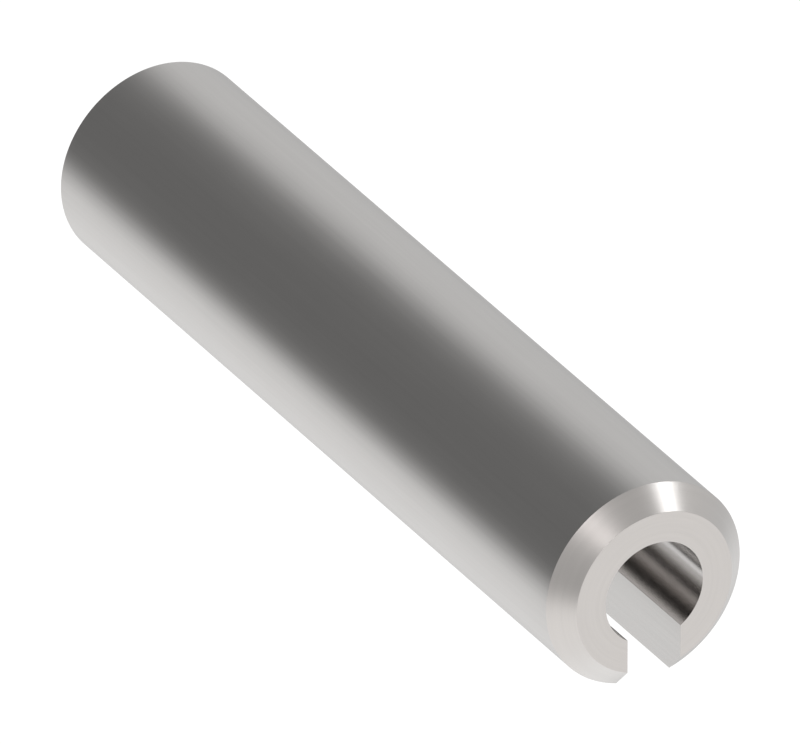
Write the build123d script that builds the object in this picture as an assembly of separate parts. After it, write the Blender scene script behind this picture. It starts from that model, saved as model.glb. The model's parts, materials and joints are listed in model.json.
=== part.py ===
from build123d import *

import math
import os

# A slotted spring pin, also called a roll pin, in millimetres: one strip of spring steel rolled into a C,
# with a 45 degree lead-in chamfer at both ends and one straight slot from end to end. It is one solid.
#
# Frame: the pin lies along X with the middle of its axis at the origin. The slot faces straight down, -Z,
# so that the pin rests on the two outer edges of its slot.

# Driving dimensions
free_diameter = 6.56  # across the barrel before it is driven into its 6 mm hole
length = 30.0  # over both end faces
wall = 1.64  # thickness of the rolled strip
slot_width = 1.79  # gap between the two parallel slot faces
end_chamfer = 0.656  # lead-in at both ends, as far along the axis as it is deep
edge_break = 0.03  # radius that tumbling leaves on every edge

# Worked out
outer_radius = free_diameter / 2
bore_radius = outer_radius - wall
slot_reach = free_diameter  # the slot's cutter runs from the axis to well below the barrel


def rolled_section():
    """The C that the strip is rolled into, drawn in the YZ plane with its opening towards -Z."""
    ring = Circle(outer_radius) - Circle(bore_radius)
    opening = Pos(0, -slot_reach / 2) * Rectangle(slot_width, slot_reach)
    return Plane.YZ * (ring - opening)


def is_barrel_rim(edge):
    """True for the outer arc at either end of the barrel, where the lead-in is cut."""
    return edge.geom_type == GeomType.CIRCLE and math.isclose(edge.radius, outer_radius, rel_tol=1e-6)


def spring_pin():
    """The rolled C at its full length, with its two lead-ins and its broken edges."""
    tube = extrude(rolled_section(), amount=length / 2, both=True)
    pin = chamfer(tube.edges().filter_by(is_barrel_rim), end_chamfer)
    return fillet(pin.edges(), edge_break)


pin = spring_pin()
pin.label = "spring_pin"

os.makedirs("parts", exist_ok=True)
export_step(pin, "parts/spring_pin.step")
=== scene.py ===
"""Looks of a slotted spring roll pin: its surfaces, its finishes, and the plain studio that it is shown in.

The pin is one strip of spring steel rolled into a C. It lies along X on the two outer edges of its slot,
with the slot facing down. Everything is in metres unless a name ends in _mm or _deg.
"""

import json
import logging
import math
from dataclasses import dataclass
from enum import Enum

import bmesh
import bpy
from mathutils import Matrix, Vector

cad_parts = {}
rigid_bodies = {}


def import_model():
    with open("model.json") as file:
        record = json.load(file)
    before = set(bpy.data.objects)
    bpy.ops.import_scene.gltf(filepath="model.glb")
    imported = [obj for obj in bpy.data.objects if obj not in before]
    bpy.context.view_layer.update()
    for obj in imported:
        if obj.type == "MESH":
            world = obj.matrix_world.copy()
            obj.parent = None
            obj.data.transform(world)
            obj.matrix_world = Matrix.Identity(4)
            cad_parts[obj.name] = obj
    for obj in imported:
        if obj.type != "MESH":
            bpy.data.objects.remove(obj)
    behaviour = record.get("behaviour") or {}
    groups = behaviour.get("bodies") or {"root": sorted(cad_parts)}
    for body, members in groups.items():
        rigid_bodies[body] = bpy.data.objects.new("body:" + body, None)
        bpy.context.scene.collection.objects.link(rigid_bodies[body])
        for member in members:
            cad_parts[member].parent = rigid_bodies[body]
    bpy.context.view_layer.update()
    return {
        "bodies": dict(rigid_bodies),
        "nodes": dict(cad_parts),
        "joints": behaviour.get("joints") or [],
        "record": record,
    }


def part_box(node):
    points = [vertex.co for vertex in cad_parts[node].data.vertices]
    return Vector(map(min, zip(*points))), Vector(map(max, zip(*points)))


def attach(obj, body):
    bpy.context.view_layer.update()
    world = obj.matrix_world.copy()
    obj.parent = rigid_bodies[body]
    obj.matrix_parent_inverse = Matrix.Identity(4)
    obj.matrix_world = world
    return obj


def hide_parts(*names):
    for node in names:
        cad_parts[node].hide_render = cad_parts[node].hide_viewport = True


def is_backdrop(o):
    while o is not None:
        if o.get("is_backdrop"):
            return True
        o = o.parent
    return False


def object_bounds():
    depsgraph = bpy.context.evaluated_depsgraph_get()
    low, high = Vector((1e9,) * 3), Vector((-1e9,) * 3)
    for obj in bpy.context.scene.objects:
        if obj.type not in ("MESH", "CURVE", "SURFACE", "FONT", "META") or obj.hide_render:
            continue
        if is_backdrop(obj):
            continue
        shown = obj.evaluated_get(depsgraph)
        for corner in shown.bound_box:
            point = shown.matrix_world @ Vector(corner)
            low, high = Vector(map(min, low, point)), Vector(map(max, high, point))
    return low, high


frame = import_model()

MM = 0.001
WHITE = (1.0, 1.0, 1.0, 1.0)
PIN_NODE = "spring_pin"

# How many finer layers a noise pattern has, and how strong each layer is beside the one before it.
MARK_LAYERS = 3.0
MARK_LAYER_STRENGTH = 0.6
PATCH_LAYERS = 2.0
PATCH_LAYER_STRENGTH = 0.5

log = logging.getLogger("spring_roll_pin")


class Zone(Enum):
    """The surfaces of the pin, in the order of its mesh's material slots."""

    BARREL = 0
    LEAD_IN = 1
    END_FACE = 2
    SLOT_FACE = 3
    BORE = 4


class Lay(Enum):
    """The direction in which a surface's fine marks run."""

    ALONG_AXIS = "along"
    ROUND_AXIS = "round"


def linear_colour(hex_code: str) -> tuple[float, float, float, float]:
    """Turns an sRGB hex colour into linear light, by the sRGB standard's own curve.

    Args:
        hex_code: the colour as six hex digits, such as "dcdad8".

    Returns:
        Red, green, blue and an alpha of one, in linear light.
    """
    channels = [int(hex_code[i : i + 2], 16) / 255 for i in (0, 2, 4)]
    linear = [c / 12.92 if c <= 0.04045 else ((c + 0.055) / 1.055) ** 2.4 for c in channels]
    return (linear[0], linear[1], linear[2], 1.0)


def add_node(
    tree: bpy.types.NodeTree, kind: str, inputs: dict[str | int, object], **settings: object
) -> bpy.types.Node:
    """Adds one node with its settings and links.

    Args:
        tree: the node tree that the node goes into.
        kind: the node's type, such as "ShaderNodeTexNoise".
        inputs: its inputs by name, or by number where several share a name, each with a value or with the
            output that feeds it.
        **settings: the node's own properties, set before its inputs, because they can change those.

    Returns:
        The new node.
    """
    node = tree.nodes.new(kind)
    for name, value in settings.items():
        setattr(node, name, value)
    for name, value in inputs.items():
        if isinstance(value, bpy.types.NodeSocket):
            tree.links.new(value, node.inputs[name])
        else:
            node.inputs[name].default_value = value
    return node


@dataclass(frozen=True)
class SteelFinish:
    """Bare spring steel as one step of its making leaves it, with fine marks that all run one way.

    Attributes:
        name: the material's name.
        colour: the steel seen straight on, as an sRGB hex colour.
        edge_tint: how grey it turns where it is seen almost edge-on, as an sRGB hex colour.
        roughness: how much it blurs what it mirrors.
        roughness_spread: how far the roughness wanders up and down from patch to patch.
        patch_mm: how wide such a patch is.
        lay: the way in which the marks run.
        mark_pitch_mm: how far apart the marks lie.
        mark_length_mm: how long they are.
        mark_depth_mm: how deep they are.
        tone_spread: how much darker or lighter than the colour they are, as a share of it.
    """

    name: str
    colour: str
    edge_tint: str
    roughness: float
    roughness_spread: float
    patch_mm: float
    lay: Lay
    mark_pitch_mm: float
    mark_length_mm: float
    mark_depth_mm: float = 0.001
    tone_spread: float = 0.05

    def material(self) -> bpy.types.Material:
        """Builds the finish as a node material.

        Returns:
            The material, named for the finish.
        """
        steel = bpy.data.materials.new(self.name)
        steel.use_nodes = True
        tree = steel.node_tree
        tree.nodes.clear()
        place = add_node(tree, "ShaderNodeTexCoord", {}).outputs["Object"]
        marks = add_node(
            tree,
            "ShaderNodeTexNoise",
            {
                "Vector": self.drawn_out(tree, place),
                "Scale": 1 / (self.mark_pitch_mm * MM),
                "Detail": MARK_LAYERS,
                "Roughness": MARK_LAYER_STRENGTH,
            },
        ).outputs["Fac"]
        patches = add_node(
            tree,
            "ShaderNodeTexNoise",
            {
                "Vector": place,
                "Scale": 1 / (self.patch_mm * MM),
                "Detail": PATCH_LAYERS,
                "Roughness": PATCH_LAYER_STRENGTH,
            },
        ).outputs["Fac"]
        rough = add_node(
            tree,
            "ShaderNodeMapRange",
            {
                "Value": patches,
                "To Min": self.roughness - self.roughness_spread,
                "To Max": self.roughness + self.roughness_spread,
            },
        )
        shade = add_node(
            tree,
            "ShaderNodeMapRange",
            {"Value": marks, "To Min": 1 - self.tone_spread, "To Max": 1 + self.tone_spread},
        )
        tone = add_node(
            tree,
            "ShaderNodeHueSaturation",
            {"Color": linear_colour(self.colour), "Value": shade.outputs["Result"]},
        )
        bump = add_node(tree, "ShaderNodeBump", {"Distance": self.mark_depth_mm * MM, "Height": marks})
        shader = add_node(
            tree,
            "ShaderNodeBsdfPrincipled",
            {
                "Base Color": tone.outputs["Color"],
                "Metallic": 1.0,
                "Roughness": rough.outputs["Result"],
                "Specular Tint": linear_colour(self.edge_tint),
                "Normal": bump.outputs["Normal"],
            },
        )
        add_node(tree, "ShaderNodeOutputMaterial", {"Surface": shader.outputs["BSDF"]})
        return steel

    def drawn_out(self, tree: bpy.types.NodeTree, place: bpy.types.NodeSocket) -> bpy.types.NodeSocket:
        """Squeezes space along the marks, so that a pattern read there comes out as long lines.

        Args:
            tree: the material's node tree.
            place: the output that holds the point on the pin.

        Returns:
            The output that holds the squeezed point.
        """
        share = self.mark_pitch_mm / self.mark_length_mm
        if self.lay is Lay.ALONG_AXIS:
            squeezed = add_node(
                tree, "ShaderNodeVectorMath", {0: place, 1: (share, 1.0, 1.0)}, operation="MULTIPLY"
            )
            return squeezed.outputs["Vector"]
        across = add_node(
            tree, "ShaderNodeVectorMath", {0: place, 1: (0.0, 1.0, 1.0)}, operation="MULTIPLY"
        ).outputs["Vector"]
        radius = add_node(tree, "ShaderNodeVectorMath", {0: across}, operation="LENGTH")
        ring = add_node(tree, "ShaderNodeCombineXYZ", {"X": radius.outputs["Value"]})
        turned = add_node(
            tree,
            "ShaderNodeVectorMath",
            {0: across, 1: (share, share, share), 2: ring.outputs["Vector"]},
            operation="MULTIPLY_ADD",
        )
        return turned.outputs["Vector"]


# Strip steel that was cold rolled bright, hardened and then tumbled: a soft satin that smears what it
# reflects into broad bands, with hair-fine roll lines that run along the strip. The real lines lie about
# 0.02 mm apart, too fine to show, so they are drawn 0.12 mm apart.
TUMBLED_BARREL = SteelFinish(
    name="tumbled_spring_steel_strip",
    colour="dcdad8",
    edge_tint="efefef",
    roughness=0.3,
    roughness_spread=0.025,
    patch_mm=2.5,
    lay=Lay.ALONG_AXIS,
    mark_pitch_mm=0.12,
    mark_length_mm=9.0,
)

# The lead-in is turned on both ends of the rolled strip. The tool leaves it a little brighter than the
# tumbled barrel, with faint rings round the axis, one for each 0.08 mm that the tool fed.
TURNED_LEAD_IN = SteelFinish(
    name="turned_spring_steel",
    colour="e2e0de",
    edge_tint="f3f3f3",
    roughness=0.285,
    roughness_spread=0.01,
    patch_mm=1.5,
    lay=Lay.ROUND_AXIS,
    mark_pitch_mm=0.08,
    mark_length_mm=4.0,
)

# The ends are faced off square: an even, pale ring, with the tool's marks round it 0.1 mm apart.
CUT_END = SteelFinish(
    name="cut_spring_steel_end",
    colour="e1dfdd",
    edge_tint="efefef",
    roughness=0.285,
    roughness_spread=0.01,
    patch_mm=1.0,
    lay=Lay.ROUND_AXIS,
    mark_pitch_mm=0.1,
    mark_length_mm=3.0,
)

# The slot's faces are the strip's own slit edges: flat and even, with fine lines along the strip from the
# slitting knife, drawn 0.1 mm apart so that they can show.
SLIT_EDGE = SteelFinish(
    name="slit_spring_steel_edge",
    colour="d4d2d0",
    edge_tint="fbfbfb",
    roughness=0.2,
    roughness_spread=0.01,
    patch_mm=1.5,
    lay=Lay.ALONG_AXIS,
    mark_pitch_mm=0.1,
    mark_length_mm=6.0,
)

# Tumbling hardly reaches the inside, which keeps the rolled strip's sharper sheen: it mirrors itself in
# narrow bands. Its roll lines are drawn as on the barrel, only shallower.
ROLLED_BORE = SteelFinish(
    name="rolled_spring_steel_inside",
    colour="d8d5d3",
    edge_tint="fbfbfb",
    roughness=0.175,
    roughness_spread=0.02,
    patch_mm=2.5,
    lay=Lay.ALONG_AXIS,
    mark_pitch_mm=0.12,
    mark_length_mm=9.0,
    mark_depth_mm=0.0002,
)

FINISHES = {
    Zone.BARREL: TUMBLED_BARREL,
    Zone.LEAD_IN: TURNED_LEAD_IN,
    Zone.END_FACE: CUT_END,
    Zone.SLOT_FACE: SLIT_EDGE,
    Zone.BORE: ROLLED_BORE,
}


@dataclass
class RolledPin:
    """The pin: a C-shaped section run along X, with a lead-in chamfer at both ends and every edge broken.

    Attributes:
        outer_radius: the radius of the barrel.
        bore_radius: the radius of the bore.
        half_slot: half the width of the slot.
        length: the length over both ends.
        lead_in: how long and, at 45 degrees, how deep each lead-in is.
        edge_break: how far each sharp edge is cut back.
        edge_profile: the shape of the broken edges, where 0.5 is round.
        edge_steps: how many rows of faces make up a broken edge.
        arc_steps: how many faces follow each arc of the C.
        wall_steps: how many faces cross the wall.
        barrel_steps: how many rings of faces make up the barrel.
        lead_in_steps: how many rings of faces make up a lead-in.
        sharp_deg: how far the surface turns, at least, at an edge that counts as sharp.
        node: the name of the solid that the pin stands in for.
    """

    outer_radius: float
    bore_radius: float
    half_slot: float
    length: float
    lead_in: float
    edge_break: float = 0.005 * MM
    edge_profile: float = 0.5
    edge_steps: int = 3
    arc_steps: int = 150
    wall_steps: int = 6
    barrel_steps: int = 40
    lead_in_steps: int = 3
    sharp_deg: float = 30.0
    node: str = PIN_NODE

    @classmethod
    def from_frame(cls, packed: dict, node: str = PIN_NODE) -> "RolledPin":
        """Reads the pin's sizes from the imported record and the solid.

        Args:
            node: the name of the pin's node.

        Returns:
            A pin with the solid's own sizes.
        """
        mounts = {mount["name"]: mount["dims"] for mount in packed["record"]["mounts"]}
        low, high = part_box(node)
        length = high.x - low.x
        # Below the axis, nothing of the pin lies nearer to its middle plane than the slot's faces.
        below_axis = [v.co.y for v in packed["nodes"][node].data.vertices if v.co.z < 0]
        return cls(
            outer_radius=min(high.y, high.z),
            bore_radius=mounts["bore"]["r_mm"] * MM,
            half_slot=min(abs(y) for y in below_axis),
            length=length,
            lead_in=(length - mounts["shank"]["length_mm"] * MM) / 2,
            node=node,
        )

    def arc(self, radius: float) -> list[Vector]:
        """Spreads points along one arc of the C, from the slot's +Y side over the top to its -Y side.

        Args:
            radius: the arc's radius.

        Returns:
            The arc's points in the plane x = 0.
        """
        start = math.asin(self.half_slot / radius)
        sweep = 2 * (math.pi - start)
        angles = [start + sweep * i / self.arc_steps for i in range(self.arc_steps + 1)]
        return [Vector((0.0, radius * math.sin(a), -radius * math.cos(a))) for a in angles]

    def between(self, first: Vector, last: Vector) -> list[Vector]:
        """Spreads points between two corners of the C, without the corners themselves."""
        return [first.lerp(last, i / self.wall_steps) for i in range(1, self.wall_steps)]

    def section(self, radius: float) -> list[Vector]:
        """Draws the closed outline of the C.

        Args:
            radius: the outer radius at this place along the pin.

        Returns:
            The outline's points in order: outer arc, slot face, bore arc, slot face.
        """
        outer, bore = self.arc(radius), self.arc(self.bore_radius)
        return [
            *outer,
            *self.between(outer[-1], bore[-1]),
            *reversed(bore),
            *self.between(bore[0], outer[0]),
        ]

    def stations(self) -> list[tuple[float, float]]:
        """Lists the places along the pin where its outline is drawn.

        Returns:
            Pairs of place along X and outer radius there, from one end to the other.
        """
        half = self.length / 2
        shares = [i / self.lead_in_steps for i in range(self.lead_in_steps + 1)]
        ramp = [
            (half - self.lead_in * share, self.outer_radius - self.lead_in * (1 - share)) for share in shares
        ]
        inner_end = half - self.lead_in
        barrel = [
            (-inner_end + 2 * inner_end * i / self.barrel_steps, self.outer_radius)
            for i in range(1, self.barrel_steps)
        ]
        return [(-x, radius) for x, radius in ramp] + barrel + list(reversed(ramp))

    def zone_of(self, step: int, at_lead_in: bool) -> Zone:
        """Names the surface that a step round the outline belongs to.

        Args:
            step: the step's number, counted along the section's points.
            at_lead_in: whether the step lies in one of the lead-ins.

        Returns:
            The surface.
        """
        if step < self.arc_steps:
            return Zone.LEAD_IN if at_lead_in else Zone.BARREL
        in_bore = self.arc_steps + self.wall_steps <= step < 2 * self.arc_steps + self.wall_steps
        return Zone.BORE if in_bore else Zone.SLOT_FACE

    def add_sides(self, shape: bmesh.types.BMesh) -> list[list[bmesh.types.BMVert]]:
        """Builds everything but the end faces.

        Args:
            shape: the mesh being built.

        Returns:
            The rings of vertices, one for each station.
        """
        stations = self.stations()
        rings = [
            [shape.verts.new(point + Vector((x, 0.0, 0.0))) for point in self.section(radius)]
            for x, radius in stations
        ]
        for k in range(len(rings) - 1):
            at_lead_in = stations[k][1] != stations[k + 1][1]
            here, there = rings[k], rings[k + 1]
            for j in range(len(here)):
                after = (j + 1) % len(here)
                face = shape.faces.new((here[j], here[after], there[after], there[j]))
                face.material_index = self.zone_of(j, at_lead_in).value
        return rings

    def add_end_face(self, shape: bmesh.types.BMesh, ring: list[bmesh.types.BMVert]) -> None:
        """Closes one end with rows of quads between the outer arc and the bore.

        Args:
            shape: the mesh being built.
            ring: the vertices of the end's outline.
        """
        arc, wall = self.arc_steps, self.wall_steps
        outer_row = ring[: arc + 1]
        bore_row = [ring[2 * arc + wall - i] for i in range(arc + 1)]
        rows = [outer_row]
        for m in range(1, wall):
            inner = [
                shape.verts.new(outer_row[i].co.lerp(bore_row[i].co, m / wall)) for i in range(1, arc)
            ]
            rows.append([ring[-m], *inner, ring[arc + m]])
        rows.append(bore_row)
        for row, below in zip(rows, rows[1:]):
            for i in range(arc):
                face = shape.faces.new((row[i], row[i + 1], below[i + 1], below[i]))
                face.material_index = Zone.END_FACE.value

    def mesh(self) -> bpy.types.Object:
        """Builds the pin's surface.

        Returns:
            The pin as a Blender object at the origin.
        """
        shape = bmesh.new()
        rings = self.add_sides(shape)
        self.add_end_face(shape, rings[0])
        self.add_end_face(shape, rings[-1])
        bmesh.ops.recalc_face_normals(shape, faces=shape.faces)
        sharp = [edge for edge in shape.edges if edge.calc_face_angle() > math.radians(self.sharp_deg)]
        # A material of -1 gives each new face the finish of the surface beside it.
        broken = bmesh.ops.bevel(
            shape,
            geom=sharp,
            offset=self.edge_break,
            offset_type="OFFSET",
            segments=self.edge_steps,
            profile=self.edge_profile,
            affect="EDGES",
            material=-1,
        )["faces"]
        shading = self.shading(shape, set(broken))
        data = bpy.data.meshes.new("rolled_pin")
        shape.to_mesh(data)
        shape.free()
        data.shade_smooth()
        data.normals_split_custom_set_from_vertices(shading)
        pin = bpy.data.objects.new("rolled_pin", data)
        bpy.context.scene.collection.objects.link(pin)
        return pin

    def shading(self, shape: bmesh.types.BMesh, broken: set[bmesh.types.BMFace]) -> list[Vector]:
        """Works out a shading normal for each vertex, so that flat faces look flat right up to their edges.

        Args:
            shape: the finished mesh.
            broken: the narrow faces that round its edges.

        Returns:
            One normal for each vertex: that of the broad faces it touches, or else of the narrow ones.
        """
        normals = []
        for vert in shape.verts:
            broad = [face for face in vert.link_faces if face not in broken] or list(vert.link_faces)
            normals.append(sum((face.normal for face in broad), Vector()).normalized())
        return normals

    def dress(self, pin: bpy.types.Object) -> None:
        """Gives each surface its finish, in the order of the zones."""
        for zone in Zone:
            pin.data.materials.append(FINISHES[zone].material())

    def build(self) -> bpy.types.Object:
        """Builds and dresses the pin and seats it in the frame.

        Returns:
            The finished pin.
        """
        pin = self.mesh()
        self.dress(pin)
        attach(pin, "root")
        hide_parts(self.node)
        return pin


@dataclass
class LightTable:
    """A plain white strip under the pin, lit from below. The steel mirrors the room and not this strip.

    Attributes:
        height: the height that the pin lies at.
        half_length: half the strip's length, along the pin.
        half_width: half its width.
        glow: how bright the light from below makes it, where 1 is white.
        paint: its colour under other light, as an sRGB hex colour.
    """

    height: float
    half_length: float = 23 * MM
    half_width: float = 8 * MM
    glow: float = 1.0
    paint: str = "808080"

    def build(self) -> bpy.types.Object:
        """Builds the strip as part of the stage.

        Returns:
            The strip.
        """
        corners = [
            (x_side * self.half_length, y_side * self.half_width, self.height)
            for x_side, y_side in ((-1, -1), (1, -1), (1, 1), (-1, 1))
        ]
        data = bpy.data.meshes.new("light_table")
        data.from_pydata(corners, [], [(0, 1, 2, 3)])
        table = bpy.data.objects.new("light_table", data)
        bpy.context.scene.collection.objects.link(table)
        data.materials.append(self.acrylic())
        # Reflections and light pass through the strip as if it weren't there.
        table.visible_glossy = False
        table.visible_shadow = False
        table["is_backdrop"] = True
        return table

    def acrylic(self) -> bpy.types.Material:
        """Makes frosted white acrylic, lit from below: matt, with an even glow.

        Returns:
            The material.
        """
        sheet = bpy.data.materials.new("frosted_white_acrylic")
        sheet.use_nodes = True
        tree = sheet.node_tree
        tree.nodes.clear()
        shader = add_node(
            tree,
            "ShaderNodeBsdfPrincipled",
            {
                "Base Color": linear_colour(self.paint),
                "Roughness": 1.0,
                "Specular IOR Level": 0.0,
                "Emission Color": WHITE,
                "Emission Strength": self.glow,
            },
        )
        add_node(tree, "ShaderNodeOutputMaterial", {"Surface": shader.outputs["BSDF"]})
        return sheet


@dataclass
class Softbox:
    """A round soft light, given by where the pin sees it and how bright it looks from there.

    Attributes:
        name: the light's name.
        towards: the direction in which the pin sees it.
        radiance: how bright it looks, where 1 is white.
        half_angle_deg: how large it looks, from its middle to its rim.
        colour: its colour, as an sRGB hex colour.
        distance: how far it hangs from the pin.
    """

    name: str
    towards: tuple[float, float, float]
    radiance: float
    half_angle_deg: float
    colour: str = "ffffff"
    distance: float = 2.0

    def build(self) -> bpy.types.Object:
        """Builds the light, aimed at the pin.

        Returns:
            The light.
        """
        radius = self.distance * math.tan(math.radians(self.half_angle_deg))
        area = math.pi * radius**2
        lamp = bpy.data.lights.new(self.name, "AREA")
        lamp.shape = "DISK"
        lamp.size = 2 * radius
        # The power of a flat lamp is pi times its radiance times its area.
        lamp.energy = self.radiance * math.pi * area
        lamp.color = linear_colour(self.colour)[:3]
        box = bpy.data.objects.new(self.name, lamp)
        bpy.context.scene.collection.objects.link(box)
        direction = Vector(self.towards).normalized()
        box.location = direction * self.distance
        box.rotation_mode = "QUATERNION"
        box.rotation_quaternion = direction.to_track_quat("Z", "Y")
        return box


@dataclass(frozen=True)
class Turn:
    """A soft change from one part of the room to the next, seen from the pin.

    Attributes:
        way: the direction that the change goes towards, one unit long.
        start: the cosine of the angle from that direction at which the change starts.
        end: the cosine at which it ends. With one above 1, it never quite gets there.
    """

    way: tuple[float, float, float]
    start: float
    end: float

    def share(self, tree: bpy.types.NodeTree, direction: bpy.types.NodeSocket) -> bpy.types.NodeSocket:
        """Finds how far the change has come in a direction.

        Args:
            tree: the world's node tree.
            direction: the output that holds the direction.

        Returns:
            The output that holds the share, from 0 to 1.
        """
        cosine = add_node(tree, "ShaderNodeVectorMath", {0: direction, 1: self.way}, operation="DOT_PRODUCT")
        change = add_node(
            tree,
            "ShaderNodeMapRange",
            {"Value": cosine.outputs["Value"], "From Min": self.start, "From Max": self.end},
            interpolation_type="SMOOTHSTEP",
        )
        return change.outputs["Result"]

    def blend(
        self,
        tree: bpy.types.NodeTree,
        direction: bpy.types.NodeSocket,
        before: float | bpy.types.NodeSocket,
        after: float | bpy.types.NodeSocket,
    ) -> bpy.types.NodeSocket:
        """Turns one brightness softly into another.

        Args:
            tree: the world's node tree.
            direction: the output that holds the direction.
            before: the brightness before the change.
            after: the brightness after it.

        Returns:
            The output that holds the brightness.
        """
        ends = {"Factor": self.share(tree, direction), "A": before, "B": after}
        return add_node(tree, "ShaderNodeMix", ends, data_type="FLOAT").outputs["Result"]


@dataclass
class Studio:
    """The room that the steel mirrors, painted by direction, with shades that melt into one another.

    As the camera sees it, the left wall is dim, the right wall paler and the rear wall paler still. The
    front, which is the rest of the walls and the ceiling, lies between left and right. The floor is bright,
    with a dimmer patch low behind the pin. The paint is a touch warmer at the pin's near end than at its
    far end, and two soft lights hang above. A brightness of 1 is white.

    Attributes:
        front_wall: the brightness of the front.
        side_wall: the brightness of the right wall.
        dim_wall: the brightness of the left wall.
        ground: the brightness of the floor.
        deep_ground: the brightness of the floor below the pin's far end.
        corner: the brightness of the patch low behind the pin.
        rear_wall: the brightness of the rear wall.
        to_side: where the front turns into the right wall.
        to_lit: where the left wall turns into those two.
        to_deep: where the floor turns into its part below the far end.
        to_ground: where the walls turn into the floor.
        to_corner: where these turn into the patch low behind the pin.
        to_rear: where these turn into the rear wall.
        cool_paint: the paint at the far end, as an sRGB hex colour.
        warm_paint: the paint at the near end, as an sRGB hex colour.
        to_warm: where the first paint turns into the second.
        backdrop: the brightness that the camera sees behind the pin instead of the room.
        softboxes: the soft lights.
    """

    front_wall: float = 0.438
    side_wall: float = 0.592
    dim_wall: float = 0.164
    ground: float = 0.881
    deep_ground: float = 1.058
    corner: float = 0.679
    rear_wall: float = 0.715
    to_side: Turn = Turn((0.0, 1.0, 0.0), start=0.363, end=0.995)
    to_lit: Turn = Turn((0.761, 0.525, 0.382), start=-0.27, end=-0.001)
    to_deep: Turn = Turn((-0.457, 0.118, -0.881), start=0.677, end=1.095)
    to_ground: Turn = Turn((-0.025, -0.028, -0.999), start=0.095, end=0.508)
    to_corner: Turn = Turn((-0.553, 0.409, -0.726), start=0.929, end=0.998)
    to_rear: Turn = Turn((-0.838, 0.53, 0.131), start=0.813, end=0.969)
    cool_paint: str = "fcfcfc"
    warm_paint: str = "fffcfa"
    to_warm: Turn = Turn((1.0, 0.0, 0.0), start=-0.25, end=0.35)
    backdrop: float = 1.05
    softboxes: tuple[Softbox, ...] = (
        Softbox("side_softbox", (0.379, 0.674, 0.635), radiance=3.04, half_angle_deg=7.07),
        Softbox(
            "front_softbox", (0.826, -0.276, 0.491), radiance=1.863, half_angle_deg=12.2, colour="fff9f8"
        ),
    )

    def build(self) -> None:
        """Builds the surround and its lights."""
        self.surround()
        for softbox in self.softboxes:
            softbox.build()
            width = 2 * softbox.half_angle_deg
            log.info("%s: radiance %.2f over %.0f degrees", softbox.name, softbox.radiance, width)

    def surround(self) -> None:
        """Paints the room by direction, and puts a white backdrop behind the pin for the camera alone."""
        world = bpy.data.worlds.new("studio")
        bpy.context.scene.world = world
        world.use_nodes = True
        tree = world.node_tree
        tree.nodes.clear()
        direction = add_node(tree, "ShaderNodeTexCoord", {}).outputs["Generated"]
        lit = self.to_side.blend(tree, direction, self.front_wall, self.side_wall)
        wall = self.to_lit.blend(tree, direction, self.dim_wall, lit)
        below = self.to_deep.blend(tree, direction, self.ground, self.deep_ground)
        level = self.to_ground.blend(tree, direction, wall, below)
        shaded = self.to_corner.blend(tree, direction, level, self.corner)
        room = self.to_rear.blend(tree, direction, shaded, self.rear_wall)
        paint = add_node(
            tree,
            "ShaderNodeMix",
            {
                "Factor": self.to_warm.share(tree, direction),
                "A": linear_colour(self.cool_paint),
                "B": linear_colour(self.warm_paint),
            },
            data_type="RGBA",
        )
        walls = add_node(tree, "ShaderNodeBackground", {"Color": paint.outputs["Result"], "Strength": room})
        backdrop = add_node(tree, "ShaderNodeBackground", {"Color": WHITE, "Strength": self.backdrop})
        seen = add_node(tree, "ShaderNodeLightPath", {}).outputs["Is Camera Ray"]
        both = add_node(
            tree,
            "ShaderNodeMixShader",
            {0: seen, 1: walls.outputs["Background"], 2: backdrop.outputs["Background"]},
        )
        add_node(tree, "ShaderNodeOutputWorld", {"Surface": both.outputs["Shader"]})


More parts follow.
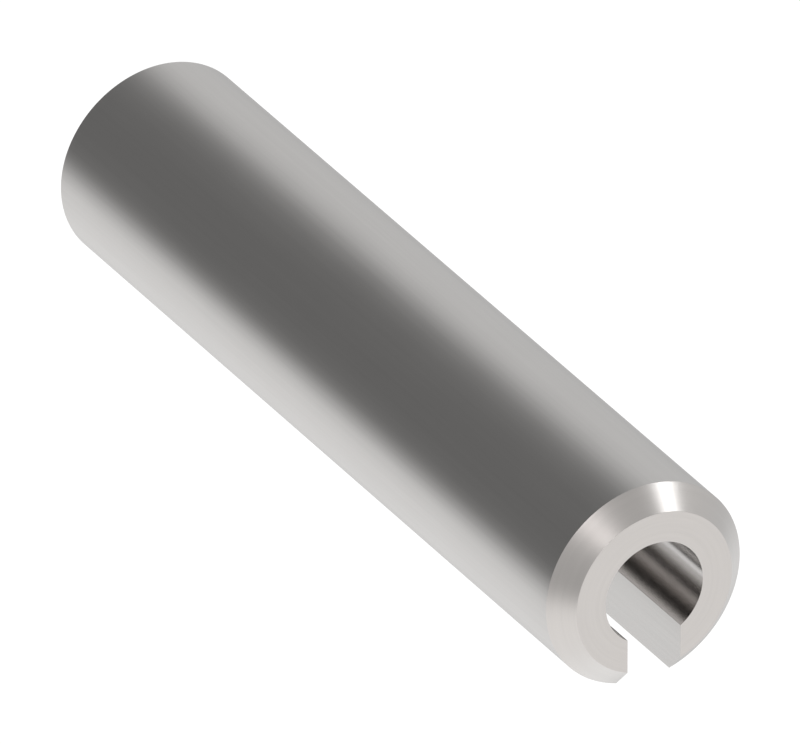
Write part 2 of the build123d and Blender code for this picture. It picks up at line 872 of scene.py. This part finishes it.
@dataclass
class PhotoCamera:
    """A camera far off with a very long lens, because the photo's parallel lines stay parallel.

    Attributes:
        azimuth_deg: how far round from the pin's -Y side it stands, towards the near end.
        elevation_deg: how high above the horizon it stands.
        lens_mm: its focal length.
        sensor_mm: the width of its sensor.
        view_width: the width that it takes in at the pin.
        target: the point that it looks at.
        nearest: how near a thing may be to be seen, as a share of the camera's distance.
        farthest: how far off it may be, in the same way.
    """

    azimuth_deg: float = 60.0
    elevation_deg: float = 30.0
    lens_mm: float = 1500.0
    sensor_mm: float = 36.0
    view_width: float = 23.587 * MM
    target: tuple[float, float, float] = (0.17 * MM, 0.0, 0.0)
    nearest: float = 0.01
    farthest: float = 2.0

    def build(self) -> bpy.types.Object:
        """Builds the camera and makes it the scene's own.

        Returns:
            The camera.
        """
        azimuth, elevation = math.radians(self.azimuth_deg), math.radians(self.elevation_deg)
        back = Vector(
            (
                math.sin(azimuth) * math.cos(elevation),
                -math.cos(azimuth) * math.cos(elevation),
                math.sin(elevation),
            )
        )
        distance = self.view_width * self.lens_mm / self.sensor_mm
        lens = bpy.data.cameras.new("photo_camera")
        lens.lens = self.lens_mm
        lens.sensor_width = self.sensor_mm
        lens.clip_start = distance * self.nearest
        lens.clip_end = distance * self.farthest
        camera = bpy.data.objects.new("photo_camera", lens)
        bpy.context.scene.collection.objects.link(camera)
        camera.location = Vector(self.target) + back * distance
        camera.rotation_mode = "QUATERNION"
        camera.rotation_quaternion = back.to_track_quat("Z", "Y")
        bpy.context.scene.camera = camera
        return camera


def main() -> None:
    """Builds the pin, its stage, its light and its camera, in that order."""
    logging.basicConfig(level=logging.INFO, format="%(name)s: %(message)s")
    pin = RolledPin.from_frame(frame).build()
    log.info("%s: %d faces in %d finishes", pin.name, len(pin.data.polygons), len(pin.data.materials))
    table = LightTable(height=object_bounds()[0].z).build()
    log.info("%s: %.0f mm wide", table.name, table.dimensions.y / MM)
    Studio().build()
    camera = PhotoCamera().build()
    log.info("%s: %.0f mm from the pin", camera.name, camera.location.length / MM)
    # Colours come out as the finishes and the lights give them, with no film curve.
    bpy.context.scene.view_settings.view_transform = "Standard"


if __name__ == "__main__":
    main()
